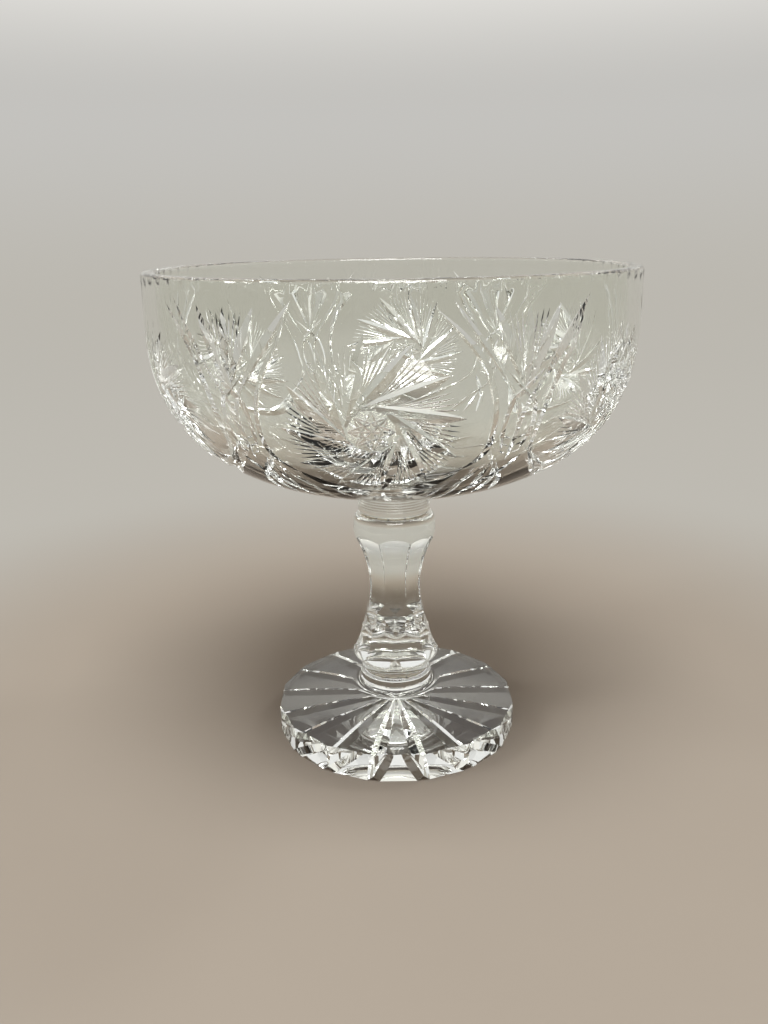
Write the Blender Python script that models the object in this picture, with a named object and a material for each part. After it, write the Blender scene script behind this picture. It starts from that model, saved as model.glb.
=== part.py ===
"""Compote dish of cut crystal: a deep bowl carried on a fluted stem and a star-cut foot.

Metres, +Z up. The origin is on the axis of the dish, on the surface that it stands on.
The front of the dish, where a flute of the stem faces, looks along -Y.
"""
import math

import bmesh
import bpy
from mathutils import Matrix

# How the pieces meet
JOINT_GAP = 0.0003
BOND_THICKNESS = 0.0004
BOND_INSET = 0.0004
TURNED_STEPS = 72
SMALL_TURNED_STEPS = 48

# Bowl, turned; its curve is a superellipse up to the belly and upright above it
BOWL_RADIUS = 0.1027
BOWL_HEIGHT = 0.09325
BOWL_BELLY_HEIGHT = 0.0747
BOWL_WALL = 0.0055
BOWL_FLOOR = 0.0070
BOWL_FULLNESS = 2.5
BOWL_CURVE_STEPS = 12
BOWL_PAD_RADIUS = 0.0172
LIP_EDGE_RADIUS = 0.0018

# Collar under the bowl, a short turned neck
BOWL_COLLAR_HEIGHT = 0.0132
BOWL_COLLAR_RADIUS = 0.0164
BOWL_COLLAR_EDGE = 0.0010

# Stem: a turned blank, then flutes and knop facets ground into it
STEM_HEIGHT = 0.0758
STEM_FOOT_RADIUS = 0.0152
SHOULDER_RADIUS = 0.0186
SHOULDER_OVERHANG = 0.0028
SHOULDER_HEIGHT = 0.0045
SHOULDER_ROUND = 0.0035
KNOP_RADIUS = 0.0199
KNOP_EDGE_HEIGHT = 0.0017
KNOP_TURN_UNDER = 0.0029
NECK_RING_HEIGHT = 0.0010
NECK_TAPER_HEIGHT = 0.0042
PANEL_COUNT = 8
FLUTE_WAIST_ACROSS = 0.0230
FLUTE_WAIST_HEIGHT = 0.0410
FLUTE_WHEEL_RADIUS = 0.055
KNOP_FACET_ACROSS = 0.0280
KNOP_FACET_HEIGHT = 0.0248
KNOP_WHEEL_RADIUS = 0.032

# Collar over the foot, a flat turned ring
FOOT_COLLAR_HEIGHT = 0.0039
FOOT_COLLAR_RADIUS = 0.0166
FOOT_COLLAR_EDGE = 0.0012

# Foot: a domed disc with flats ground round its edge and a star cut into its underside
FOOT_CORNER_RADIUS = 0.0558
FOOT_EDGE_HEIGHT = 0.0125
FOOT_TOP_RADIUS = 0.0164
FOOT_TOP_HEIGHT = 0.0240
FOOT_FILLET_RUN = 0.0056
FOOT_FILLET_RISE = 0.0035
FOOT_SIDES = 16
FOOT_GRINDING_STOCK = 0.0012
STAR_CUT_DEPTH = 0.0026
STAR_CUT_INNER_RADIUS = 0.0015
STAR_CUT_DEEPEST_RADIUS = 0.0420
MITRE_ANGLE = math.radians(100)

# Cutting wheels run past the glass by this much, and have this many facets
CUTTER_MARGIN = 0.004
WHEEL_STEPS = 72
MITRE_WHEEL_STEPS = 160
WELD_DISTANCE = 0.00001


def arc(centre_r, centre_z, radius, start_deg, end_deg, steps):
    """Points (r, z) on an arc of a turned outline, angles from +r towards +z."""
    angles = [math.radians(start_deg + (end_deg - start_deg) * i / steps) for i in range(steps + 1)]
    return [(centre_r + radius * math.cos(a), centre_z + radius * math.sin(a)) for a in angles]


def bowl_curve(radius, depth, start, steps):
    """Quarter superellipse (r, z) from its angle start up to the belly at z = 0."""
    power = 2 / BOWL_FULLNESS
    angles = [start + (math.pi / 2 - start) * i / steps for i in range(steps + 1)]
    return [(radius * math.sin(a) ** power, -depth * max(math.cos(a), 0.0) ** power) for a in angles]


def crystal(name, colour):
    """Polished lead crystal, or the clear bond between two pieces of it."""
    material = bpy.data.materials.new(name)
    material.use_nodes = True
    shader = material.node_tree.nodes["Principled BSDF"]
    shader.inputs["Base Color"].default_value = (*colour, 1.0)
    shader.inputs["Roughness"].default_value = 0.03
    shader.inputs["Metallic"].default_value = 0.0
    shader.inputs["IOR"].default_value = 1.545
    shader.inputs["Transmission Weight"].default_value = 1.0
    return material


def turned(name, outline, seat_height, colour, steps=TURNED_STEPS):
    """Solid of revolution about Z. The outline (r, z) starts and ends on the axis, outer side downwards."""
    mesh = bpy.data.meshes.new(name)
    points = [(r, 0.0, z) for r, z in outline]
    mesh.from_pydata(points, [(i, i + 1) for i in range(len(points) - 1)], [])
    piece = bpy.data.objects.new(name, mesh)
    bpy.context.collection.objects.link(piece)
    piece.location.z = seat_height
    piece.parent = dish
    screw = piece.modifiers.new("Turning", "SCREW")
    screw.steps = steps
    screw.render_steps = steps
    screw.use_merge_vertices = True
    screw.merge_threshold = 0.00001
    screw.use_smooth_shade = True
    mesh.materials.append(crystal(name + "_crystal", colour))
    return piece


def grind(piece, cutter, operation="DIFFERENCE", solver="EXACT"):
    """Cut the piece with a wheel or a prism, which is kept as a hidden guide."""
    cutter.hide_render = True
    cutter.display_type = "WIRE"
    boolean = piece.modifiers.new(cutter.name, "BOOLEAN")
    boolean.operation = operation
    boolean.solver = solver
    boolean.object = cutter


def add_cutter(name, shape, matrix):
    """Cutter object from a bmesh, placed in the dish."""
    mesh = bpy.data.meshes.new(name)
    shape.to_mesh(mesh)
    shape.free()
    cutter = bpy.data.objects.new(name, mesh)
    bpy.context.collection.objects.link(cutter)
    cutter.matrix_world = matrix
    return cutter


def flat_wheel(radius, thickness):
    """Broad wheel with a square face, lying on its side with its axle along X."""
    shape = bmesh.new()
    bmesh.ops.create_cone(
        shape, cap_ends=True, segments=WHEEL_STEPS, radius1=radius, radius2=radius, depth=thickness,
        matrix=Matrix.Rotation(math.pi / 2, 4, "Y"),
    )
    return shape


def mitre_wheel(radius):
    """Wheel with a V edge: two cones base to base, the axle along X."""
    half_width = CUTTER_MARGIN * math.tan(MITRE_ANGLE / 2)
    shape = bmesh.new()
    inner = radius - CUTTER_MARGIN
    outline = [(-half_width, 0.0), (-half_width, inner), (0.0, radius), (half_width, inner), (half_width, 0.0)]
    points = [shape.verts.new((x, 0.0, r)) for x, r in outline]
    edges = [shape.edges.new(pair) for pair in zip(points, points[1:])]
    bmesh.ops.spin(
        shape, geom=points + edges, cent=(0, 0, 0), axis=(1, 0, 0),
        angle=2 * math.pi, steps=MITRE_WHEEL_STEPS, use_merge=True,
    )
    bmesh.ops.remove_doubles(shape, verts=shape.verts, dist=0.00001)
    bmesh.ops.recalc_face_normals(shape, faces=shape.faces)
    return shape


def merge_slivers(piece):
    """Weld the points that meet where several cuts cross."""
    weld = piece.modifiers.new("Weld", "WELD")
    weld.merge_threshold = WELD_DISTANCE


def panel_turn(index, count, offset):
    """Turn about Z that brings -Y to the given one of count evenly spaced panels."""
    return Matrix.Rotation(2 * math.pi * (index + offset) / count, 4, "Z")


def grind_panels(piece, name, across, height, wheel_radius, offset):
    """Ring of equal panels, each the hollow left by a broad wheel at the given height.

    Neighbouring panels meet in one ridge, where the exact solver leaves open edges.
    """
    axle_distance = across / 2 + wheel_radius
    thickness = 2 * KNOP_RADIUS
    for i in range(PANEL_COUNT):
        place = panel_turn(i, PANEL_COUNT, offset) @ Matrix.Translation((0, -axle_distance, height))
        wheel = add_cutter(f"{name}_{i + 1}", flat_wheel(wheel_radius, thickness), place)
        grind(piece, wheel, solver="MANIFOLD")


for old in list(bpy.data.objects):
    bpy.data.objects.remove(old, do_unlink=True)

dish = bpy.data.objects.new("compote_dish", None)
bpy.context.collection.objects.link(dish)

# Heights at which the pieces seat, from the table up
foot_collar_seat = FOOT_TOP_HEIGHT + JOINT_GAP
lower_bond_seat = foot_collar_seat + FOOT_COLLAR_HEIGHT + JOINT_GAP
stem_seat = lower_bond_seat + BOND_THICKNESS + JOINT_GAP
upper_bond_seat = stem_seat + STEM_HEIGHT + JOINT_GAP
bowl_collar_seat = upper_bond_seat + BOND_THICKNESS + JOINT_GAP
bowl_seat = bowl_collar_seat + BOWL_COLLAR_HEIGHT + JOINT_GAP

# Foot: turned with a little stock at the edge, which the flats take off all round
foot_blank_radius = FOOT_CORNER_RADIUS + FOOT_GRINDING_STOCK
dome_radius = FOOT_TOP_RADIUS + FOOT_FILLET_RUN
fillet = [
    (dome_radius - FOOT_FILLET_RUN * math.cos(a), FOOT_TOP_HEIGHT - FOOT_FILLET_RISE * math.sin(a))
    for a in [math.pi / 2 * i / 6 for i in range(7)]
]
foot = turned(
    "foot",
    [(0.0, FOOT_TOP_HEIGHT)] + fillet + [
        (foot_blank_radius, FOOT_EDGE_HEIGHT), (foot_blank_radius, 0.0), (0.0, 0.0),
    ],
    0.0, (0.93, 0.93, 0.90),
)
edge_flats = bmesh.new()
bmesh.ops.create_cone(
    edge_flats, cap_ends=True, segments=FOOT_SIDES, radius1=FOOT_CORNER_RADIUS, radius2=FOOT_CORNER_RADIUS,
    depth=2 * (FOOT_TOP_HEIGHT + CUTTER_MARGIN),
)
grind(foot, add_cutter("foot_edge_flats", edge_flats, panel_turn(0, FOOT_SIDES, 0.5)), "INTERSECT")
star_half_length = STAR_CUT_DEEPEST_RADIUS - STAR_CUT_INNER_RADIUS
star_wheel_radius = (star_half_length ** 2 + STAR_CUT_DEPTH ** 2) / (2 * STAR_CUT_DEPTH)
for i in range(FOOT_SIDES):
    under_foot = Matrix.Translation((0, -STAR_CUT_DEEPEST_RADIUS, STAR_CUT_DEPTH - star_wheel_radius))
    place = panel_turn(i, FOOT_SIDES, 0.5) @ under_foot
    grind(foot, add_cutter(f"star_cut_{i + 1}", mitre_wheel(star_wheel_radius), place))
merge_slivers(foot)

# Foot collar: a ring with a rounded edge on the top of the foot
turned(
    "foot_collar",
    [(0.0, FOOT_COLLAR_HEIGHT)]
    + arc(FOOT_COLLAR_RADIUS - FOOT_COLLAR_EDGE, FOOT_COLLAR_HEIGHT - FOOT_COLLAR_EDGE, FOOT_COLLAR_EDGE, 90, 0, 4)
    + arc(FOOT_COLLAR_RADIUS - FOOT_COLLAR_EDGE, FOOT_COLLAR_EDGE, FOOT_COLLAR_EDGE, 0, -90, 4)
    + [(0.0, 0.0)],
    foot_collar_seat, (0.93, 0.93, 0.90), SMALL_TURNED_STEPS,
)

# Lower bond: a clear film inside the edge of the stem's ground foot
lower_bond_radius = min(STEM_FOOT_RADIUS, FOOT_COLLAR_RADIUS - FOOT_COLLAR_EDGE) - BOND_INSET
turned(
    "lower_bond_film",
    [(0.0, BOND_THICKNESS), (lower_bond_radius, BOND_THICKNESS), (lower_bond_radius, 0.0), (0.0, 0.0)],
    lower_bond_seat, (0.88, 0.85, 0.76), SMALL_TURNED_STEPS,
)

# Stem: shoulder at the top, knop near the bottom, a neck ring under the knop
neck_ring_radius = KNOP_RADIUS - KNOP_TURN_UNDER
knop_lower_edge = NECK_TAPER_HEIGHT + NECK_RING_HEIGHT + KNOP_TURN_UNDER
shoulder_top = STEM_HEIGHT - SHOULDER_ROUND
stem_top_radius = SHOULDER_RADIUS - SHOULDER_OVERHANG
shoulder_curve = [
    (stem_top_radius + SHOULDER_OVERHANG * math.sin(a), shoulder_top + SHOULDER_ROUND * math.cos(a))
    for a in [math.pi / 2 * i / 5 for i in range(6)]
]
knop_turn_under = arc(neck_ring_radius, knop_lower_edge, KNOP_TURN_UNDER, 0, -90, 5)
stem = turned(
    "stem",
    [(0.0, STEM_HEIGHT)] + shoulder_curve
    + [(SHOULDER_RADIUS, shoulder_top - SHOULDER_HEIGHT), (KNOP_RADIUS, knop_lower_edge + KNOP_EDGE_HEIGHT)]
    + knop_turn_under
    + [(neck_ring_radius, NECK_TAPER_HEIGHT), (STEM_FOOT_RADIUS, 0.0), (0.0, 0.0)],
    stem_seat, (0.93, 0.93, 0.90),
)
grind_panels(stem, "flute", FLUTE_WAIST_ACROSS, stem_seat + FLUTE_WAIST_HEIGHT, FLUTE_WHEEL_RADIUS, 0.0)
grind_panels(stem, "knop_facet", KNOP_FACET_ACROSS, stem_seat + KNOP_FACET_HEIGHT, KNOP_WHEEL_RADIUS, 0.5)
merge_slivers(stem)

# Bowl collar: a straight neck with eased edges, as wide at the top as the bowl's ground pad
collar_bottom_radius = BOWL_COLLAR_RADIUS - BOWL_COLLAR_EDGE
turned(
    "bowl_collar",
    [(0.0, BOWL_COLLAR_HEIGHT), (BOWL_PAD_RADIUS, BOWL_COLLAR_HEIGHT)]
    + [(BOWL_COLLAR_RADIUS, BOWL_COLLAR_HEIGHT - 3 * BOWL_COLLAR_EDGE)]
    + arc(collar_bottom_radius, BOWL_COLLAR_EDGE, BOWL_COLLAR_EDGE, 0, -90, 4)
    + [(0.0, 0.0)],
    bowl_collar_seat, (0.93, 0.93, 0.90), SMALL_TURNED_STEPS,
)

# Upper bond: the same film between the stem's top and the bowl's collar
upper_bond_radius = min(stem_top_radius, collar_bottom_radius) - BOND_INSET
turned(
    "upper_bond_film",
    [(0.0, BOND_THICKNESS), (upper_bond_radius, BOND_THICKNESS), (upper_bond_radius, 0.0), (0.0, 0.0)],
    upper_bond_seat, (0.88, 0.85, 0.76), SMALL_TURNED_STEPS,
)

# Bowl: the outer curve is cut off by the pad that is ground flat for the collar
pad_share = (1 - (BOWL_PAD_RADIUS / BOWL_RADIUS) ** BOWL_FULLNESS) ** (1 / BOWL_FULLNESS)
pad_angle = math.acos(pad_share ** (BOWL_FULLNESS / 2))
outer_depth = BOWL_BELLY_HEIGHT / pad_share
inner_radius = BOWL_RADIUS - BOWL_WALL
inside = bowl_curve(inner_radius, BOWL_BELLY_HEIGHT - BOWL_FLOOR, 0.0, BOWL_CURVE_STEPS)
outside = bowl_curve(BOWL_RADIUS, outer_depth, pad_angle, BOWL_CURVE_STEPS)
lip_height = BOWL_HEIGHT - LIP_EDGE_RADIUS
turned(
    "bowl",
    [(r, BOWL_BELLY_HEIGHT + z) for r, z in inside]
    + arc(inner_radius + LIP_EDGE_RADIUS, lip_height, LIP_EDGE_RADIUS, 180, 90, 3)
    + arc(BOWL_RADIUS - LIP_EDGE_RADIUS, lip_height, LIP_EDGE_RADIUS, 90, 0, 3)
    + [(r, BOWL_BELLY_HEIGHT + z) for r, z in reversed(outside)]
    + [(0.0, 0.0)],
    bowl_seat, (0.94, 0.94, 0.92),
)
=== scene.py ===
"""Compote dish of cut crystal, standing on a plain pale floor.

The dish is put together from the foot up: foot, foot collar, stem, bowl collar and bowl, with a bond
film below and above the stem. Sizes are in millimetres and become metres when a mesh is made.
"""
import math

import bpy
import numpy as np
from mathutils import Matrix, Vector


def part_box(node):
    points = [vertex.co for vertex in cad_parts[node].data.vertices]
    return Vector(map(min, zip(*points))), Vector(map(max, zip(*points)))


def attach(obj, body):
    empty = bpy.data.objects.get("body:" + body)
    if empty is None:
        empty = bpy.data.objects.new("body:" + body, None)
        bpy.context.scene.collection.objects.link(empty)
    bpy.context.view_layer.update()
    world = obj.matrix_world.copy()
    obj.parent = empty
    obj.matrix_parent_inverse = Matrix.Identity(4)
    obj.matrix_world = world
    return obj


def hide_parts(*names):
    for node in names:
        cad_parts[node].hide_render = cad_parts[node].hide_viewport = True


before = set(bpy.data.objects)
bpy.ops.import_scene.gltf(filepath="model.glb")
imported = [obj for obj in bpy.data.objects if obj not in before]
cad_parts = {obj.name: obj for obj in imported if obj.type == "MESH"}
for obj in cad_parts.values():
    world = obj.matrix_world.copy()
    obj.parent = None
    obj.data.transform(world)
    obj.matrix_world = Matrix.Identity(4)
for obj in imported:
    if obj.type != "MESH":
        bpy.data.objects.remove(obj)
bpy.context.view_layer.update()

# Foot: a heavy domed disc of lead crystal, turned from one gather of glass. Sixteen flats are ground
# round its edge and a sixteen-point star is cut into its underside, then all of it is polished.
MM = 0.001
FOOT_SIDES = 16
FOOT_EDGE_HEIGHT = 12.5
FOOT_TOP_RADIUS = 16.4
FOOT_FILLET_RUN = 5.6
FOOT_FILLET_RISE = 3.5
FOOT_STOCK = 1.2
STAR_CUT_DEPTH = 2.6
STAR_CUT_START = 1.5
STAR_CUT_DEEPEST = 42.0
STAR_CUT_RUN_IN = 0.5
STAR_CUT_RUN_OFF = 3.0
STAR_CUT_STEPS = 24
MITRE_FLANK = math.tan(math.radians(50))
CUTTER_STAND = 0.6
JOINT_CLEARANCE = 0.02
FINE_STEPS = 128
FILLET_STEPS = 12
SEAM_WELD = 0.002
SLIVER_WELD = 0.001
CRISP_EDGE = 14
TURNED_EDGE = 40
LEVEL = 0.999
JOINT_MATCH = 0.01
JOINT_MARGIN = 0.1
TINT_PATCH = 18.0
SWAY_PATCH = 9.0
SWAY_HEIGHT = 0.35


def sizes_of(node):
    """Outer radius, lowest and highest height of a CAD node, in millimetres."""
    low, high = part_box(node)
    return high.x / MM, low.z / MM, high.z / MM


def pick(piece):
    """Only this piece selected and active."""
    bpy.ops.object.select_all(action="DESELECT")
    piece.select_set(True)
    bpy.context.view_layer.objects.active = piece


def new_piece(name, points, edges, faces):
    """Mesh object from points in millimetres."""
    mesh = bpy.data.meshes.new(name)
    mesh.from_pydata([(x * MM, y * MM, z * MM) for x, y, z in points], edges, faces)
    piece = bpy.data.objects.new(name, mesh)
    bpy.context.collection.objects.link(piece)
    return piece


def turn_on_lathe(name, outline, steps):
    """Solid of revolution: an outline (r, z) from axis to axis, spun round the dish's axis."""
    points = [(r, 0.0, z) for r, z in outline]
    piece = new_piece(name, points, [(i, i + 1) for i in range(len(points) - 1)], [])
    pick(piece)
    bpy.ops.object.mode_set(mode="EDIT")
    bpy.ops.mesh.select_all(action="SELECT")
    bpy.ops.mesh.spin(steps=steps, angle=2 * math.pi, center=(0, 0, 0), axis=(0, 0, 1))
    bpy.ops.mesh.select_all(action="SELECT")
    bpy.ops.mesh.remove_doubles(threshold=SEAM_WELD * MM)
    bpy.ops.mesh.normals_make_consistent(inside=False)
    bpy.ops.object.mode_set(mode="OBJECT")
    return piece


def round_off(centre, radius, start, end, steps):
    """Points (r, z) of an arc in an outline; angles in degrees from +r towards +z."""
    angles = [math.radians(start + (end - start) * i / steps) for i in range(steps + 1)]
    return [(centre[0] + radius * math.cos(a), centre[1] + radius * math.sin(a)) for a in angles]


def grind(piece, cutter, operation="DIFFERENCE"):
    """Take a cutter out of a piece, or keep only what is inside of it."""
    cut = piece.modifiers.new("Grind", "BOOLEAN")
    cut.operation = operation
    cut.solver = "MANIFOLD"
    cut.object = cutter
    pick(piece)
    bpy.ops.object.modifier_apply(modifier=cut.name)
    bpy.data.objects.remove(cutter, do_unlink=True)


def mitre_rings(points, outward, depths, flank=MITRE_FLANK):
    """Triangles of a V wheel along a line on the glass: an edge below it, two corners above it."""
    along = np.gradient(points, axis=0)
    along /= np.linalg.norm(along, axis=1)[:, None]
    across = np.cross(outward, along)
    across /= np.linalg.norm(across, axis=1)[:, None]
    half = ((depths + CUTTER_STAND) * flank)[:, None]
    edge = points - outward * depths[:, None]
    top = points + outward * CUTTER_STAND
    return np.stack([edge, top + across * half, top - across * half], axis=1)


def swept_cutter(name, runs):
    """One cutter object from runs of equal rings, each skinned from its first ring to its last."""
    points = []
    faces = []
    for rings in runs:
        count, corners = rings.shape[:2]
        first = len(points)
        points.extend(rings.reshape(-1, 3).tolist())
        faces.append([first + c for c in range(corners)])
        faces.append([first + (count - 1) * corners + c for c in reversed(range(corners))])
        for i in range(count - 1):
            a = first + i * corners
            b = a + corners
            for c in range(corners):
                d = (c + 1) % corners
                faces.append([a + d, a + c, b + c, b + d])
    cutter = new_piece(name, points, [], faces)
    pick(cutter)
    bpy.ops.object.mode_set(mode="EDIT")
    bpy.ops.mesh.select_all(action="SELECT")
    bpy.ops.mesh.quads_convert_to_tris()
    bpy.ops.mesh.normals_make_consistent(inside=False)
    bpy.ops.object.mode_set(mode="OBJECT")
    return cutter


def smooth_over(piece, angle):
    """Slivers left by the wheel welded, then smooth shading with edges sharper than the angle crisp."""
    pick(piece)
    bpy.ops.object.mode_set(mode="EDIT")
    bpy.ops.mesh.select_all(action="SELECT")
    bpy.ops.mesh.remove_doubles(threshold=SLIVER_WELD * MM)
    bpy.ops.object.mode_set(mode="OBJECT")
    bpy.ops.object.shade_smooth_by_angle(angle=math.radians(angle))


def colour(code):
    """Linear colour of an sRGB hex code."""
    parts = [int(code[i:i + 2], 16) / 255 for i in (1, 3, 5)]
    return [p / 12.92 if p <= 0.04045 else ((p + 0.055) / 1.055) ** 2.4 for p in parts] + [1.0]


def plug(material, socket, value):
    """Give a socket a value, or link it to the output that it is given."""
    if isinstance(value, bpy.types.NodeSocket):
        material.node_tree.links.new(value, socket)
    else:
        socket.default_value = value


def add_node(material, kind, settings=(), **sockets):
    """A node with its settings and with its sockets plugged."""
    made = material.node_tree.nodes.new(kind)
    for name, value in dict(settings).items():
        setattr(made, name, value)
    for name, value in sockets.items():
        plug(material, made.inputs[name.replace("_", " ")], value)
    return made


def new_material(name):
    """Material with an empty node tree and an output."""
    material = bpy.data.materials.new(name)
    material.use_nodes = True
    material.node_tree.nodes.clear()
    return material, add_node(material, "ShaderNodeOutputMaterial")


def lead_crystal():
    """Lead crystal, cut and polished: clear and brilliant, with the faint sway of a hand-held finish.

    The sway shows as bent edges in what is seen through it; a trace of grey-green is in the glass.
    """
    material, output = new_material("polished lead crystal")
    place = add_node(material, "ShaderNodeTexCoord").outputs["Object"]
    patches = add_node(
        material, "ShaderNodeTexNoise", Vector=place, Scale=1 / (TINT_PATCH * MM), Detail=2.0,
    )
    tint = add_node(
        material, "ShaderNodeMix", {"data_type": "RGBA"}, Factor=patches.outputs["Fac"],
        A=colour("#FAFBF8"), B=colour("#F3F5EF"),
    )
    haze = add_node(material, "ShaderNodeMapRange", Value=patches.outputs["Fac"], To_Min=0.0, To_Max=0.006)
    sway = add_node(material, "ShaderNodeTexNoise", Vector=place, Scale=1 / (SWAY_PATCH * MM), Detail=1.0)
    surface = add_node(
        material, "ShaderNodeBump", Height=sway.outputs["Fac"], Strength=0.05, Distance=SWAY_HEIGHT * MM,
    )
    glass = add_node(
        material, "ShaderNodeBsdfPrincipled", Base_Color=tint.outputs["Result"],
        Roughness=haze.outputs["Result"], IOR=1.545, Transmission_Weight=1.0,
        Normal=surface.outputs["Normal"],
    )
    material.node_tree.links.new(glass.outputs["BSDF"], output.inputs["Surface"])
    return material


def fused_joint():
    """Where two pieces of glass are one: nothing is seen of the faces that meet."""
    material, output = new_material("fused glass joint")
    clear = add_node(material, "ShaderNodeBsdfTransparent")
    material.node_tree.links.new(clear.outputs["BSDF"], output.inputs["Surface"])
    return material


crystal = lead_crystal()
joint = fused_joint()


def finish_piece(piece, node, joint_heights, joint_radius, skin):
    """Materials on a piece, joint faces marked, and the piece put in the CAD node's place."""
    piece.data.materials.clear()
    piece.data.materials.append(skin)
    piece.data.materials.append(joint)
    for face in piece.data.polygons:
        middle = face.center / MM
        flat = abs(face.normal.z) > LEVEL and math.hypot(middle.x, middle.y) < joint_radius
        meets = any(abs(middle.z - height) < JOINT_MATCH for height in joint_heights)
        face.material_index = 1 if flat and meets else 0
    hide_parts(node)
    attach(piece, "root")


foot_flat, foot_low, foot_top = sizes_of("foot")
foot_corner = foot_flat / math.cos(math.pi / FOOT_SIDES)
fillet_angles = [math.pi / 2 * i / FILLET_STEPS for i in range(FILLET_STEPS + 1)]
foot_fillet = [
    (
        FOOT_TOP_RADIUS + FOOT_FILLET_RUN * (1 - math.cos(a)),
        foot_top - FOOT_FILLET_RISE * math.sin(a),
    )
    for a in fillet_angles
]
foot = turn_on_lathe(
    "foot_of_cut_crystal",
    [(0.0, foot_top)] + foot_fillet
    + [(foot_corner + FOOT_STOCK, FOOT_EDGE_HEIGHT), (foot_corner + FOOT_STOCK, foot_low), (0.0, foot_low)],
    FINE_STEPS,
)
bpy.ops.object.select_all(action="DESELECT")
bpy.ops.mesh.primitive_cylinder_add(
    vertices=FOOT_SIDES, radius=foot_corner * MM, depth=4 * foot_top * MM,
    rotation=(0, 0, math.pi / FOOT_SIDES),
)
grind(foot, bpy.context.object, "INTERSECT")
star_reach = np.linspace(STAR_CUT_START - STAR_CUT_RUN_IN, foot_corner + STAR_CUT_RUN_OFF, STAR_CUT_STEPS)
star_span = STAR_CUT_DEEPEST - STAR_CUT_START
star_depths = STAR_CUT_DEPTH * (1 - ((star_reach - STAR_CUT_DEEPEST) / star_span) ** 2)
for i in range(FOOT_SIDES):
    angle = 2 * math.pi * (i + 0.5) / FOOT_SIDES
    line = np.outer(star_reach, [math.sin(angle), -math.cos(angle), 0.0]) + [0.0, 0.0, foot_low]
    downward = np.tile([0.0, 0.0, -1.0], (len(line), 1))
    grind(foot, swept_cutter("star cut", [mitre_rings(line, downward, star_depths)]))
smooth_over(foot, CRISP_EDGE)
finish_piece(foot, "foot", [foot_top], FOOT_TOP_RADIUS + JOINT_MARGIN, crystal)

# Foot collar: a small turned ring of the same glass, fused on the top of the foot. Its rounded edge
# is the bright line between the foot and the stem.
FOOT_COLLAR_EDGE = 1.2
SMALL_STEPS = 96

collar_radius, _, collar_top = sizes_of("foot_collar")
collar_flat = collar_radius - FOOT_COLLAR_EDGE
collar_low = foot_top + JOINT_CLEARANCE
foot_collar = turn_on_lathe(
    "foot_collar_of_crystal",
    [(0.0, collar_top)]
    + round_off((collar_flat, collar_top - FOOT_COLLAR_EDGE), FOOT_COLLAR_EDGE, 90, 0, 8)
    + round_off((collar_flat, collar_low + FOOT_COLLAR_EDGE), FOOT_COLLAR_EDGE, 0, -90, 8)
    + [(0.0, collar_low)],
    SMALL_STEPS,
)
smooth_over(foot_collar, TURNED_EDGE)
finish_piece(foot_collar, "foot_collar", [collar_low, collar_top], collar_flat, crystal)

# Lower bond film: cured clear adhesive, squeezed thin between the ground faces of the foot collar and
# the stem. Seen from the side it is a dull ring with a row of small trapped bubbles.
BOND_EDGE = 0.3
BUBBLE_PITCH = 1.4


def bond_adhesive():
    """Clear adhesive, cured: yellower and duller than glass, with bubbles a millimetre or so apart."""
    material, output = new_material("cured clear adhesive")
    place = add_node(material, "ShaderNodeTexCoord").outputs["Object"]
    cells = add_node(material, "ShaderNodeTexVoronoi", Vector=place, Scale=1 / (BUBBLE_PITCH * MM))
    bubble = add_node(
        material, "ShaderNodeMapRange", Value=cells.outputs["Distance"], From_Min=0.25, From_Max=0.4,
    )
    tone = add_node(
        material, "ShaderNodeMix", {"data_type": "RGBA"}, Factor=bubble.outputs["Result"],
        A=colour("#3B362B"), B=colour("#D8CFB4"),
    )
    skin = add_node(
        material, "ShaderNodeBsdfPrincipled", Base_Color=tone.outputs["Result"], Roughness=0.3,
        IOR=1.5, Transmission_Weight=0.6,
    )
    material.node_tree.links.new(skin.outputs["BSDF"], output.inputs["Surface"])
    return material


adhesive = bond_adhesive()


def bond_film(name, node, low, high):
    """Film that fills the joint from the piece below to the piece above."""
    radius = sizes_of(node)[0]
    low += JOINT_CLEARANCE
    high -= JOINT_CLEARANCE
    film = turn_on_lathe(
        name,
        [(0.0, high)]
        + round_off((radius, high - BOND_EDGE), BOND_EDGE, 90, 0, 4)
        + round_off((radius, low + BOND_EDGE), BOND_EDGE, 0, -90, 4)
        + [(0.0, low)],
        SMALL_STEPS,
    )
    smooth_over(film, TURNED_EDGE)
    finish_piece(film, node, [low, high], radius, adhesive)
    return radius


_, stem_low, stem_top = sizes_of("stem")
lower_bond_radius = bond_film("lower_bond_of_adhesive", "lower_bond_film", collar_top, stem_low)

# Stem: a solid baluster of lead crystal, turned with a shoulder at the top and a knop near the foot.
# A broad wheel hollows eight flutes up its length and eight facets round the knop, half a panel on.
STEM_FOOT_RADIUS = 15.2
SHOULDER_RADIUS = 18.6
SHOULDER_OVERHANG = 2.8
SHOULDER_HEIGHT = 4.5
SHOULDER_ROUND = 3.5
KNOP_RADIUS = 19.9
KNOP_EDGE_HEIGHT = 1.7
KNOP_TURN_UNDER = 2.9
NECK_RING_HEIGHT = 1.0
NECK_TAPER_HEIGHT = 4.2
PANELS = 8
FLUTE_ACROSS = 23.0
FLUTE_HEIGHT = 41.0
FLUTE_WHEEL = 55.0
KNOP_FACET_ACROSS = 28.0
KNOP_FACET_HEIGHT = 24.8
KNOP_WHEEL = 32.0
WHEEL_STEPS = 200
SHOULDER_STEPS = 10

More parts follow.
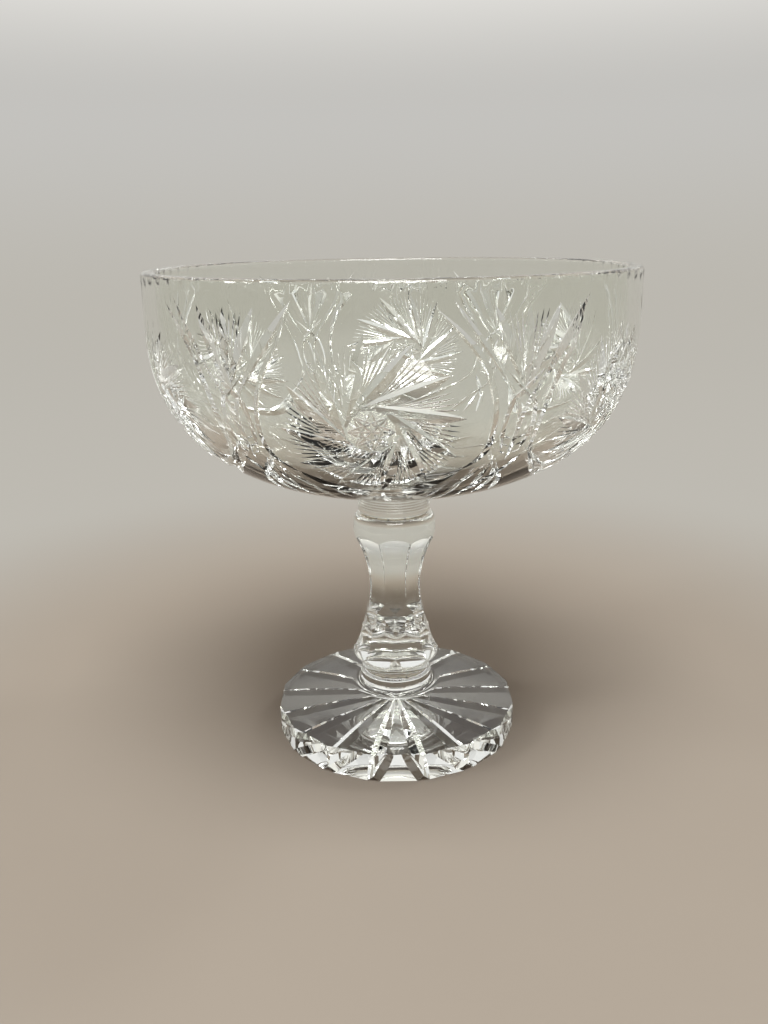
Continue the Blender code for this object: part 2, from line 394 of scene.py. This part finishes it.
upper_bond_radius = sizes_of("upper_bond_film")[0]
neck_radius = KNOP_RADIUS - KNOP_TURN_UNDER
knop_low = stem_low + NECK_TAPER_HEIGHT + NECK_RING_HEIGHT + KNOP_TURN_UNDER
shoulder_top = stem_top - SHOULDER_ROUND
stem_top_radius = SHOULDER_RADIUS - SHOULDER_OVERHANG
shoulder_angles = [math.pi / 2 * i / SHOULDER_STEPS for i in range(SHOULDER_STEPS + 1)]
shoulder = [
    (stem_top_radius + SHOULDER_OVERHANG * math.sin(a), shoulder_top + SHOULDER_ROUND * math.cos(a))
    for a in shoulder_angles
]
stem = turn_on_lathe(
    "fluted_stem_of_crystal",
    [(0.0, stem_top), (upper_bond_radius, stem_top)] + shoulder
    + [(SHOULDER_RADIUS, shoulder_top - SHOULDER_HEIGHT), (KNOP_RADIUS, knop_low + KNOP_EDGE_HEIGHT)]
    + round_off((neck_radius, knop_low), KNOP_TURN_UNDER, 0, -90, 10)
    + [(neck_radius, stem_low + NECK_TAPER_HEIGHT), (STEM_FOOT_RADIUS, stem_low)]
    + [(lower_bond_radius, stem_low), (0.0, stem_low)],
    FINE_STEPS,
)


def hollow_panels(across, height, wheel, offset):
    """Eight hollows round the stem, ground by a broad wheel whose axle lies level."""
    for i in range(PANELS):
        angle = 2 * math.pi * (i + offset) / PANELS
        distance = across / 2 + wheel
        bpy.ops.object.select_all(action="DESELECT")
        bpy.ops.mesh.primitive_cylinder_add(
            vertices=WHEEL_STEPS, radius=wheel * MM, depth=2 * KNOP_RADIUS * MM,
            location=(distance * math.sin(angle) * MM, -distance * math.cos(angle) * MM, height * MM),
            rotation=(0, math.pi / 2, angle),
        )
        grind(stem, bpy.context.object)


hollow_panels(FLUTE_ACROSS, stem_low + FLUTE_HEIGHT, FLUTE_WHEEL, 0.0)
hollow_panels(KNOP_FACET_ACROSS, stem_low + KNOP_FACET_HEIGHT, KNOP_WHEEL, 0.5)
smooth_over(stem, CRISP_EDGE)
finish_piece(stem, "stem", [stem_low], lower_bond_radius, crystal)
for face in stem.data.polygons:
    at_top = face.center.z > (stem_top - JOINT_MATCH) * MM
    if at_top and math.hypot(face.center.x, face.center.y) < upper_bond_radius * MM:
        face.material_index = 1

# Upper bond film: the same adhesive, squeezed between the ground top of the stem and the bowl collar.
# It shows as a ring like the lower one.
_, neck_low, neck_flare_top = sizes_of("bowl_collar")
bond_film("upper_bond_of_adhesive", "upper_bond_film", stem_top, neck_low)

# Bowl collar: the short neck that carries the bowl, turned from the same glass and fused to the pad
# under the bowl. The turning tool left shallow rings round it.
COLLAR_RADIUS = 16.4
BOWL_COLLAR_EDGE = 1.0
BOWL_PAD_RADIUS = 17.2
COLLAR_FLARE_HEIGHT = 3.0
COLLAR_PLAIN_HEIGHT = 2.0
COLLAR_RINGS = 7
COLLAR_RING_DEPTH = 0.2
COLLAR_RING_STEPS = 8

bowl_radius, pad_height, rim_height = sizes_of("bowl")
neck_top = pad_height - JOINT_CLEARANCE
flare_low = neck_flare_top - COLLAR_FLARE_HEIGHT
ring_low = neck_low + COLLAR_PLAIN_HEIGHT
ring_heights = np.linspace(flare_low, ring_low, COLLAR_RINGS * COLLAR_RING_STEPS + 1)
ring_wave = np.cos(np.linspace(0.0, 2 * math.pi * COLLAR_RINGS, len(ring_heights)))
ring_radii = COLLAR_RADIUS - COLLAR_RING_DEPTH * (1 - ring_wave) / 2
neck_flat = COLLAR_RADIUS - BOWL_COLLAR_EDGE
bowl_collar = turn_on_lathe(
    "bowl_collar_of_crystal",
    [(0.0, neck_top), (BOWL_PAD_RADIUS, neck_top)]
    + list(zip(ring_radii.tolist(), ring_heights.tolist()))
    + round_off((neck_flat, neck_low + BOWL_COLLAR_EDGE), BOWL_COLLAR_EDGE, 0, -90, 6)
    + [(upper_bond_radius, neck_low), (0.0, neck_low)],
    SMALL_STEPS,
)
smooth_over(bowl_collar, TURNED_EDGE)
finish_piece(bowl_collar, "bowl_collar", [neck_low, neck_top], BOWL_PAD_RADIUS, crystal)

# Bowl: one blown and turned bowl of lead crystal, thick at the floor. The wheel has cut six pinwheels
# round it, each in a horseshoe, plumes between them, rays under it and small flutes below the lip.
BELLY_HEIGHT = 74.7
BOWL_WALL = 5.5
BOWL_FLOOR = 7.0
FULLNESS = 2.5
LIP_ROUND = 1.8
BOWL_STEPS = 288
OUTER_ROWS = 46
INNER_ROWS = 30
WALL_ROWS = 6

belly = pad_height + BELLY_HEIGHT
pad_share = (1 - (BOWL_PAD_RADIUS / bowl_radius) ** FULLNESS) ** (1 / FULLNESS)
outer_depth = BELLY_HEIGHT / pad_share
inner_depth = BELLY_HEIGHT - BOWL_FLOOR
inner_radius = bowl_radius - BOWL_WALL


def belly_curve(radius, depth, start, rows):
    """Quarter superellipse (r, z) from the angle start up to the belly."""
    power = 2 / FULLNESS
    angles = np.linspace(start, math.pi / 2, rows + 1)
    rise = np.clip(np.cos(angles), 0, None) ** power
    return list(zip((radius * np.sin(angles) ** power).tolist(), (belly - depth * rise).tolist()))


lip = rim_height - LIP_ROUND
pad_angle = math.acos(pad_share ** (FULLNESS / 2))
wall_heights = np.linspace(belly, lip, WALL_ROWS + 1)[1:-1].tolist()
bowl = turn_on_lathe(
    "bowl_of_cut_crystal",
    belly_curve(inner_radius, inner_depth, 0.0, INNER_ROWS)
    + [(inner_radius, z) for z in wall_heights]
    + round_off((inner_radius + LIP_ROUND, lip), LIP_ROUND, 180, 90, 6)
    + round_off((bowl_radius - LIP_ROUND, lip), LIP_ROUND, 90, 0, 6)
    + [(bowl_radius, z) for z in reversed(wall_heights)]
    + belly_curve(bowl_radius, outer_depth, pad_angle, OUTER_ROWS)[::-1]
    + [(0.0, pad_height)],
    BOWL_STEPS,
)


AXIS_GUARD = 1e-6


def outside_by(points, radius, depth):
    """Over 0 outside of a belly curve of the bowl, under 0 inside of it."""
    r = np.hypot(points[:, 0], points[:, 1])
    drop = np.clip(belly - points[:, 2], 0.0, depth)
    return (r / radius) ** FULLNESS + (drop / depth) ** FULLNESS - 1


def square_to(points, radius, depth):
    """Outward direction of a belly curve at points that lie on it."""
    r = np.maximum(np.hypot(points[:, 0], points[:, 1]), AXIS_GUARD)
    out = (r / radius) ** (FULLNESS - 1) / radius
    down = (np.clip(belly - points[:, 2], 0.0, depth) / depth) ** (FULLNESS - 1) / depth
    normals = np.column_stack([points[:, 0] / r * out, points[:, 1] / r * out, -down])
    return normals / np.linalg.norm(normals, axis=1)[:, None]


HOLD_OFF = 2.0
PRESS_IN = 60.0
HALVINGS = 40


def on_bowl(turn, height, drawing):
    """Points and outward directions on the glass for a drawing held flat against the bowl.

    The flat touches the bowl at a turn in degrees from the front and a height; x is to the right.
    """
    turn = math.radians(turn)
    touch_radius = bowl_radius * (1 - ((belly - height) / outer_depth) ** FULLNESS) ** (1 / FULLNESS)
    touch = np.array([touch_radius * math.sin(turn), -touch_radius * math.cos(turn), height])
    out = square_to(touch[None], bowl_radius, outer_depth)[0]
    right = np.array([math.cos(turn), math.sin(turn), 0.0])
    up = np.cross(out, right)
    drawing = np.asarray(drawing, float)
    flat = touch + drawing[:, :1] * right + drawing[:, 1:] * up
    near = np.full(len(flat), -HOLD_OFF)
    far = np.full(len(flat), PRESS_IN)
    for _ in range(HALVINGS):
        middle = (near + far) / 2
        outside = outside_by(flat - middle[:, None] * out, bowl_radius, outer_depth) > 0
        near = np.where(outside, middle, near)
        far = np.where(outside, far, middle)
    points = flat - near[:, None] * out
    return points, square_to(points, bowl_radius, outer_depth)


def smooth_path(marks, pieces):
    """Points of a curve through the marks, as a bent strip of wood would lie."""
    marks = np.asarray(marks, float)
    ends = np.vstack([2 * marks[0] - marks[1], marks, 2 * marks[-1] - marks[-2]])
    path = []
    for a, b, c, d in zip(ends, ends[1:], ends[2:], ends[3:]):
        for t in np.linspace(0, 1, pieces, endpoint=False):
            path.append(
                0.5 * (2 * b + (c - a) * t + (2 * a - 5 * b + 4 * c - d) * t * t
                       + (3 * b - a - 3 * c + d) * t ** 3)
            )
    return np.array(path + [marks[-1]])


def straight(start, end, pieces=12):
    """Points of a straight cut."""
    return np.linspace(start, end, pieces + 1)


RUN_OUT = 0.04


def leaf_depth(path, depth, deepest=0.5):
    """Depth along a cut that runs in, is deepest at a share of its length, and runs out."""
    u = np.linspace(0, 1, len(path))
    reach = np.where(u < deepest, deepest, 1 - deepest)
    return depth * (1 - ((u - deepest) / reach) ** 2) - RUN_OUT * ((u == 0) | (u == 1))


def even_depth(path, depth, run):
    """Depth along a cut that is even apart from a run in and out, each a share of its length."""
    u = np.linspace(0, 1, len(path))
    share = np.minimum(1.0, np.minimum(u, 1 - u) / run)
    return depth * (1 - (1 - share) ** 2) - RUN_OUT * (share == 0)


def polar(radius, angle):
    """Point of a drawing at a radius and an angle in degrees from x."""
    return radius * math.cos(math.radians(angle)), radius * math.sin(math.radians(angle))


cuts = []


def cut(turn, height, path, depths, flank):
    """Note one wheel cut, drawn flat against the bowl, for the passes below."""
    points, outward = on_bowl(turn, height, path)
    cuts.append((mitre_rings(points, outward, depths, flank), points, depths, flank))


BROAD_FLANK = math.tan(math.radians(51))
FINE_FLANK = math.tan(math.radians(40))
PINWHEELS = 6
PINWHEEL_TURN = -5.0
PINWHEEL_HEIGHT = 158.0
STAR_CENTRE = np.array([0.1, 4.9])
STAR_POINTS = 8
STAR_SKIP = 3
STAR_RADIUS = 8.4
STAR_LINE_DEPTH = 0.5
STAR_LINE_RUN = 0.2
STAR_FLANK = math.tan(math.radians(48))
ARMS = 12
ARM_TIP = 32.3
ARM_TURN = 3.0
ARM_CIRCLE = 9.4
ARM_PAST = 5.0
ARM_DEPTH = 2.2
ARM_DEEPEST = 0.55
FAN_START = 10.5
FAN_START_TURN = 22.0
FAN_TIP = 30.5
FAN_ANGLES = (-4.5, -9.0, -13.5, -18.0, -22.5)
FAN_DEPTH = 0.45
FAN_RUN = 0.3


def pinwheel(turn):
    """Eight-point star, twelve leaf-shaped arms that swirl off its circle, and fans between them."""
    def mark(path, depths, flank=BROAD_FLANK):
        cut(turn, PINWHEEL_HEIGHT, STAR_CENTRE + path, depths, flank)

    def star_line(angle, sweep):
        path = straight(polar(STAR_RADIUS, angle), polar(STAR_RADIUS, angle + sweep), 8)
        mark(path, even_depth(path, STAR_LINE_DEPTH, STAR_LINE_RUN), STAR_FLANK)

    for i in range(STAR_POINTS):
        star_line(360 * i / STAR_POINTS, 360 * STAR_SKIP / STAR_POINTS)
    for i in range(STAR_POINTS // 2):
        star_line(360 * i / STAR_POINTS, 180)
    tangent = math.degrees(math.acos(ARM_CIRCLE / ARM_TIP))
    for i in range(ARMS):
        angle = ARM_TURN + 360 * i / ARMS
        tip = np.array(polar(ARM_TIP, angle))
        root = np.array(polar(ARM_CIRCLE, angle + tangent))
        inner = root + (root - tip) / np.linalg.norm(root - tip) * ARM_PAST
        arm = straight(inner, tip, 14)
        mark(arm, leaf_depth(arm, ARM_DEPTH, ARM_DEEPEST))
        for spread in FAN_ANGLES:
            line = straight(polar(FAN_START, angle + FAN_START_TURN), polar(FAN_TIP, angle + spread), 10)
            mark(line, even_depth(line, FAN_DEPTH, FAN_RUN), FINE_FLANK)


SHOE_RIGHT = [(22, 42.5), (31.5, 32.7), (38, 23.4), (41.5, 10), (40.1, -5), (36.5, -12), (30, -17)]
SHOE_RIGHT_DEPTH = 1.1
SHOE_LEFT = [(-27.4, 40.5), (-31.3, 30.6), (-36.6, 21.3), (-40, 9.1), (-39.5, -3.7), (-36, -12), (-27, -19)]
SHOE_LEFT_DEPTH = 0.85
SHOE_SIDE_RUN = 0.25
SHOE_FOOT = [
    (-29.5, -17), (-20.6, -23), (-11.5, -28.7), (-3, -31.2), (6, -30.6), (16, -26.5), (25, -20), (32, -15),
]
SHOE_FOOT_DEPTH = 2.4
SHOE_FOOT_FLANK = math.tan(math.radians(58))


def horseshoe(turn):
    """The arc round a pinwheel: a narrow cut up each side and one broad leaf under it."""
    for marks, depth in ((SHOE_RIGHT, SHOE_RIGHT_DEPTH), (SHOE_LEFT, SHOE_LEFT_DEPTH)):
        side = smooth_path(marks, 5)
        cut(turn, PINWHEEL_HEIGHT, side, even_depth(side, depth, SHOE_SIDE_RUN), BROAD_FLANK)
    under = smooth_path(SHOE_FOOT, 4)
    cut(turn, PINWHEEL_HEIGHT, under, leaf_depth(under, SHOE_FOOT_DEPTH), SHOE_FOOT_FLANK)


PLUME_HEIGHT = 160.0
PLUME_SHARE = 0.51
LONG_LEAF = [(27, 43), (18, 32.5), (12.5, 26), (3.5, 14)]
LONG_LEAF_DEPTHS = {-1: 0.9, 1: 1.6}
LONG_LEAF_DEEPEST = 0.42
TRUNK = [(7, 20), (2, 11), (0.3, 4), (0, -5), (0, -14)]
TRUNK_RUN = 0.3
LEG = [(8, 23), (0, 16), (-4.2, 12), (-5.8, 4.5), (-5.6, -1), (-3.5, -9)]
LEG_RUN = 0.25
STALK_DEPTH = 0.9
RUNG_HEIGHTS = (-3.0, -6.5, -10.0)
RUNG_START = 1.2
RUNG_END = 4.6
RUNG_RISE = 1.5
SPRIG_TIPS = (3.2, 5.6, 8.0)
SPRIG_LOW = 25.0
SPRIG_TOP = 41.0
SPRIG_GATHER = 0.4
SHORT_LINE_RUN = 0.4
CROSS_LEAF = [(-6.5, -11), (5, -29)]
CROSS_LEAF_DEPTH = 0.9
CROWN_FOOT = (0.0, 16.5)
CROWN_TIPS = (-13, 0, 13)
CROWN_TOP = 42.0
CROWN_DEPTH = 1.8
CROWN_DEEPEST = 0.58
ROOT_TIPS = (-8, 0, 8)
ROOT_TOP = -22.0
ROOT_LOW = -40.0
ROOT_GATHER = 0.3
ROOT_DEPTH = 1.1


def on_side(marks, side):
    """Marks drawn for the right, kept there or mirrored to the left."""
    return [(x * side, y) for x, y in marks]


def plume(turn):
    """Between two pinwheels: long leaves and legs on a trunk, a crown of leaves, and roots under it."""
    def mark(path, depths, flank=BROAD_FLANK):
        cut(turn, PLUME_HEIGHT, path, depths, flank)

    def short_line(start, end, pieces):
        line = straight(start, end, pieces)
        mark(line, even_depth(line, FAN_DEPTH, SHORT_LINE_RUN), FINE_FLANK)

    for side in (-1, 1):
        leaf = smooth_path(on_side(LONG_LEAF, side), 5)
        mark(leaf, leaf_depth(leaf, LONG_LEAF_DEPTHS[side], LONG_LEAF_DEEPEST))
        trunk = smooth_path(on_side(TRUNK, side), 5)
        mark(trunk, even_depth(trunk, STALK_DEPTH, TRUNK_RUN))
        leg = smooth_path(on_side(LEG, side), 5)
        mark(leg, even_depth(leg, STALK_DEPTH, LEG_RUN))
        for y in RUNG_HEIGHTS:
            short_line((RUNG_START * side, y), (RUNG_END * side, y + RUNG_RISE), 6)
        cross = straight(*on_side(CROSS_LEAF, side), 10)
        mark(cross, leaf_depth(cross, CROSS_LEAF_DEPTH))
        for x in SPRIG_TIPS:
            short_line((x * side * SPRIG_GATHER, SPRIG_LOW), (x * side, SPRIG_TOP), 8)
    for x in CROWN_TIPS:
        leaf = straight(CROWN_FOOT, (x, CROWN_TOP))
        mark(leaf, leaf_depth(leaf, CROWN_DEPTH, CROWN_DEEPEST))
    for x in ROOT_TIPS:
        root = straight((x * ROOT_GATHER, ROOT_TOP), (x, ROOT_LOW))
        mark(root, leaf_depth(root, ROOT_DEPTH))


RAY_HEIGHT = 124.0
RAY_FOOT = -24.0
RAY_DEPTH = 1.2
SHORT_RAY = 20.0
LONG_RAY = 40.0


def ray_under_bowl(turn, length):
    """One ray of the star round the pad under the bowl."""
    ray = straight((0, RAY_FOOT), (0, RAY_FOOT + length))
    cut(turn, RAY_HEIGHT, ray, leaf_depth(ray, RAY_DEPTH), BROAD_FLANK)


for i in range(PINWHEELS):
    wheel_turn = PINWHEEL_TURN + 360 * i / PINWHEELS
    plume_turn = wheel_turn + PLUME_SHARE * 360 / PINWHEELS
    pinwheel(wheel_turn)
    horseshoe(wheel_turn)
    plume(plume_turn)
    ray_under_bowl(wheel_turn, SHORT_RAY)
    ray_under_bowl(plume_turn, LONG_RAY)

RIM_FLUTES = 72
RIM_FLUTE_HEIGHT = 5.0
RIM_FLUTE_DEPTH = 0.32
RIM_FLUTE_SPREAD = 1.3
RIM_FLUTE_POINTS = 11
RIM_OVERRUN = 2.0
RIM_CUTTER_BACK = 4.0


def rim_flute(angle):
    """Prism with a rounded face, leaned in so that the flute starts at nothing and deepens to the lip."""
    half_pitch = math.pi * bowl_radius / RIM_FLUTES
    wheel = (half_pitch ** 2 + RIM_FLUTE_DEPTH ** 2) / (2 * RIM_FLUTE_DEPTH)
    x = np.linspace(-RIM_FLUTE_SPREAD * half_pitch, RIM_FLUTE_SPREAD * half_pitch, RIM_FLUTE_POINTS)
    hollow = wheel - np.sqrt(wheel ** 2 - x ** 2)
    lean = RIM_FLUTE_DEPTH / RIM_FLUTE_HEIGHT
    back = bowl_radius + RIM_CUTTER_BACK
    rings = []
    for height in (-RIM_FLUTE_HEIGHT - RIM_OVERRUN, LIP_ROUND + RIM_OVERRUN):
        face = bowl_radius - lean * (height + RIM_FLUTE_HEIGHT) + hollow
        ring = np.vstack([np.column_stack([x, face]), [[x[-1], back], [x[0], back]]])
        rings.append(np.column_stack([
            ring[:, 1] * math.sin(angle) + ring[:, 0] * math.cos(angle),
            -ring[:, 1] * math.cos(angle) + ring[:, 0] * math.sin(angle),
            np.full(len(ring), rim_height + height),
        ]))
    return np.stack(rings)


PASS_CLEARANCE = 0.35
PASS_FILL = 3


def wheel_passes():
    """The cuts sorted into passes in which no cut touches another, so that each pass is one cutter."""
    passes = []
    for rings, points, depths, flank in cuts:
        steps = np.linspace(0, len(points) - 1, PASS_FILL * len(points))
        line = np.column_stack([np.interp(steps, np.arange(len(points)), points[:, k]) for k in range(3)])
        reach = (depths.max() + CUTTER_STAND) * flank
        for one in passes:
            gaps = np.linalg.norm(one["line"][:, None] - line[None], axis=2) - one["reach"][:, None]
            if gaps.min() > reach + PASS_CLEARANCE:
                break
        else:
            one = {"runs": [], "line": np.empty((0, 3)), "reach": np.empty(0)}
            passes.append(one)
        one["runs"].append(rings)
        one["line"] = np.vstack([one["line"], line])
        one["reach"] = np.append(one["reach"], np.full(len(line), reach))
    return [one["runs"] for one in passes]


for runs in wheel_passes():
    grind(bowl, swept_cutter("wheel pass", runs))
for odd in (0, 1):
    flutes = [rim_flute(2 * math.pi * (2 * i + odd) / RIM_FLUTES) for i in range(RIM_FLUTES // 2)]
    grind(bowl, swept_cutter("rim flutes", flutes))
smooth_over(bowl, CRISP_EDGE)

ON_CURVE = 0.004
SAME_WAY = math.cos(math.radians(9))
FLUTE_MARGIN = 0.4


def polish_uncut(mesh):
    """True outward directions on the uncut glass, where the cutting left long thin triangles."""
    corners = len(mesh.loops)
    owner = np.repeat(np.arange(len(mesh.polygons)), [face.loop_total for face in mesh.polygons])
    vertex = np.empty(corners, np.int32)
    mesh.loops.foreach_get("vertex_index", vertex)
    places = np.empty(len(mesh.vertices) * 3, np.float32)
    mesh.vertices.foreach_get("co", places)
    places = places.reshape(-1, 3)[vertex].astype(float) / MM
    flats = np.empty(len(mesh.polygons) * 3, np.float32)
    mesh.polygons.foreach_get("normal", flats)
    flats = flats.reshape(-1, 3)[owner]
    normals = np.empty(corners * 3, np.float32)
    mesh.corner_normals.foreach_get("vector", normals)
    normals = normals.reshape(-1, 3).astype(float)
    below_flutes = places[:, 2] < rim_height - RIM_FLUTE_HEIGHT - FLUTE_MARGIN
    for radius, depth, side in ((bowl_radius, outer_depth, 1), (inner_radius, inner_depth, -1)):
        true = square_to(places, radius, depth) * side
        near = np.abs(outside_by(places, radius, depth)) < ON_CURVE
        alike = (flats * true).sum(1) > SAME_WAY
        whole = np.ones(len(mesh.polygons), bool)
        np.logical_and.at(whole, owner, near & alike & below_flutes)
        normals = np.where(whole[owner][:, None], true, normals)
    mesh.normals_split_custom_set(normals.tolist())


polish_uncut(bowl.data)
finish_piece(bowl, "bowl", [pad_height], BOWL_PAD_RADIUS, crystal)

# Stage: a matt pale floor that rises in a wide cove to a wall all round, so that the glass has the
# same quiet ground behind it from any side. The paint is one warm tone; a painted pale glow lies over
# the floor further off, which leaves a darker warm pool of painted shade round the dish, and a glow
# rises to white up the wall.
FLOOR_RADIUS = 1300.0
COVE_RADIUS = 700.0
WALL_HEIGHT = 1500.0
FLOOR_GAP = 0.03
COVE_STEPS = 24
PAINT_PATCH = 160.0
# The floor is left as a pool of painted shade out to the first radius; by the second a painted pale glow
# takes its share.
PAINTED_SHADE_RADIUS = 180.0
PAINTED_LIGHT_RADIUS = 450.0
PAINTED_LIGHT_SHARE = 0.9
UNDERGLOW = 0.2
WALL_FOOT = 50.0
WALL_EVEN = 500.0
WALL_BRIGHT = 1050.0
WALL_TONE = 0.55

floor = turn_on_lathe(
    "pale_floor",
    [(0.0, -FLOOR_GAP)]
    + round_off((FLOOR_RADIUS, COVE_RADIUS - FLOOR_GAP), COVE_RADIUS, -90, 0, COVE_STEPS)
    + [(FLOOR_RADIUS + COVE_RADIUS, WALL_HEIGHT)],
    SMALL_STEPS,
)
pick(floor)
bpy.ops.object.mode_set(mode="EDIT")
bpy.ops.mesh.select_all(action="SELECT")
bpy.ops.mesh.flip_normals()
bpy.ops.object.mode_set(mode="OBJECT")
smooth_over(floor, TURNED_EDGE)


def combine(owner, operation, first, second):
    """One value worked out from two, each a number or an output."""
    made = add_node(owner, "ShaderNodeMath", {"operation": operation})
    plug(owner, made.inputs[0], first)
    plug(owner, made.inputs[1], second)
    return made.outputs["Value"]


def seen_by(owner):
    """1 for rays from the camera, from gloss and through glass; 0 for light that falls on matt paint."""
    path = add_node(owner, "ShaderNodeLightPath")
    seen = path.outputs["Is Camera Ray"]
    for kind in ("Is Glossy Ray", "Is Transmission Ray"):
        seen = combine(owner, "MAXIMUM", seen, path.outputs[kind])
    return seen


def fade(owner, value, start, end, low, high):
    """Soft change from low to high between two values."""
    made = add_node(
        owner, "ShaderNodeMapRange", {"interpolation_type": "SMOOTHSTEP"}, Value=value,
        From_Min=start, From_Max=end, To_Min=low, To_Max=high,
    )
    return made.outputs["Result"]


def lay_over(owner, share, under, glow):
    """A shader with a glow over it that takes a share of the whole."""
    made = add_node(owner, "ShaderNodeMixShader")
    for socket, value in zip(made.inputs, (share, under, glow.outputs["Emission"])):
        plug(owner, socket, value)
    return made.outputs["Shader"]


def matt_pale_paint():
    """Matt warm paint with a faint unevenness, and over it glows that only the eye and the glass see.

    A brown glow over all of it is painted light that stands under the dish for the light that real
    glass lets through, and it tints the shadows brown. Further off a pale glow is painted light for
    the rest of a studio, so that a darker warm pool of painted shade stays round the dish. Up the
    wall a glow rises to white.
    """
    material, output = new_material("matt pale paint")
    place = add_node(material, "ShaderNodeTexCoord").outputs["Object"]
    height = add_node(material, "ShaderNodeSeparateXYZ", Vector=place).outputs["Z"]
    from_dish = add_node(material, "ShaderNodeVectorMath", {"operation": "LENGTH"}, Vector=place)
    speckle = add_node(
        material, "ShaderNodeTexNoise", Vector=place, Scale=1 / (PAINT_PATCH * MM), Detail=3.0,
    )
    warm = add_node(
        material, "ShaderNodeMix", {"data_type": "RGBA"}, Factor=speckle.outputs["Fac"],
        A=colour("#B8AEA1"), B=colour("#B1A79A"),
    )
    paint = add_node(
        material, "ShaderNodeBsdfPrincipled", Base_Color=warm.outputs["Result"], Roughness=0.9,
    )
    seen = seen_by(material)
    # Painted light: a brown glow that lifts the floor's shadows, for light the glass would let through, and
    # tints them brown.
    underglow = add_node(material, "ShaderNodeEmission", Color=colour("#766556"), Strength=1.0)
    share = combine(material, "MULTIPLY", seen, UNDERGLOW)
    ground = lay_over(material, share, paint.outputs["BSDF"], underglow)
    # Painted light: a pale glow over the floor away from the dish, which leaves a painted pool of shade
    # round it.
    far_painted_light = add_node(material, "ShaderNodeEmission", Color=colour("#C0BDB5"), Strength=1.0)
    off = fade(
        material, from_dish.outputs["Value"], PAINTED_SHADE_RADIUS * MM, PAINTED_LIGHT_RADIUS * MM, 0.0, PAINTED_LIGHT_SHARE,
    )
    ground = lay_over(material, combine(material, "MULTIPLY", seen, off), ground, far_painted_light)
    rise = fade(material, height, WALL_EVEN * MM, WALL_BRIGHT * MM, WALL_TONE, 1.0)
    wall = add_node(material, "ShaderNodeEmission", Color=colour("#FFFDF8"), Strength=rise)
    up = fade(material, height, WALL_FOOT * MM, WALL_EVEN * MM, 0.0, 1.0)
    whole = lay_over(material, combine(material, "MULTIPLY", seen, up), ground, wall)
    material.node_tree.links.new(whole, output.inputs["Surface"])
    return material


floor.data.materials.append(matt_pale_paint())

world = bpy.data.worlds.new("studio ceiling")
world.use_nodes = True
sky = world.node_tree.nodes["Background"]
sky_tone = add_node(
    world, "ShaderNodeMix", {"data_type": "RGBA"}, Factor=seen_by(world),
    A=colour("#736C63"), B=colour("#F6F6F7"),
)
world.node_tree.links.new(sky_tone.outputs["Result"], sky.inputs["Color"])
bpy.context.scene.world = world

LAMP_AIM = Vector((0.0, 0.0, 0.1))


def soft_lamp(name, place, size, watts):
    """Square soft box, in metres, turned towards the dish."""
    lamp = bpy.data.lights.new(name, "AREA")
    lamp.shape = "SQUARE"
    lamp.size = size
    lamp.energy = watts
    holder = bpy.data.objects.new(name, lamp)
    bpy.context.collection.objects.link(holder)
    holder.location = place
    holder.rotation_euler = (Vector(place) - LAMP_AIM).to_track_quat("Z", "Y").to_euler()


soft_lamp("soft box over the dish", (0.0, -0.5, 1.7), 0.9, 27.0)
soft_lamp("small lamp at the left", (-1.1, -0.3, 0.9), 0.2, 2.5)
soft_lamp("small lamp at the right", (1.0, 0.5, 1.1), 0.2, 2.5)

# Camera: the photograph's view, a little above the rim and square to the dish.
LENS = 32.6
SENSOR_HEIGHT = 36.0
CAMERA_PLACE = (-4.6, -402.3, 228.7)
CAMERA_PITCH = 17.148
CAMERA_ROLL = -0.852

eye = bpy.data.cameras.new("camera")
eye.sensor_fit = "VERTICAL"
eye.sensor_height = SENSOR_HEIGHT
eye.lens = LENS
camera = bpy.data.objects.new("camera", eye)
bpy.context.collection.objects.link(camera)
camera.matrix_world = (
    Matrix.Translation([v * MM for v in CAMERA_PLACE])
    @ Matrix.Rotation(math.radians(90 - CAMERA_PITCH), 4, "X")
    @ Matrix.Rotation(math.radians(CAMERA_ROLL), 4, "Z")
)
bpy.context.scene.camera = camera
bpy.context.scene.view_settings.view_transform = "Standard"

# Light paths: long enough for a look through the bowl, which crosses many faces of glass. Light that
# glass would focus on to the floor is left out, because it only speckles the picture.
cycles = bpy.context.scene.cycles
cycles.max_bounces = 32
cycles.transmission_bounces = 28
cycles.glossy_bounces = 12
cycles.transparent_max_bounces = 24
cycles.caustics_refractive = False
cycles.caustics_reflective = False
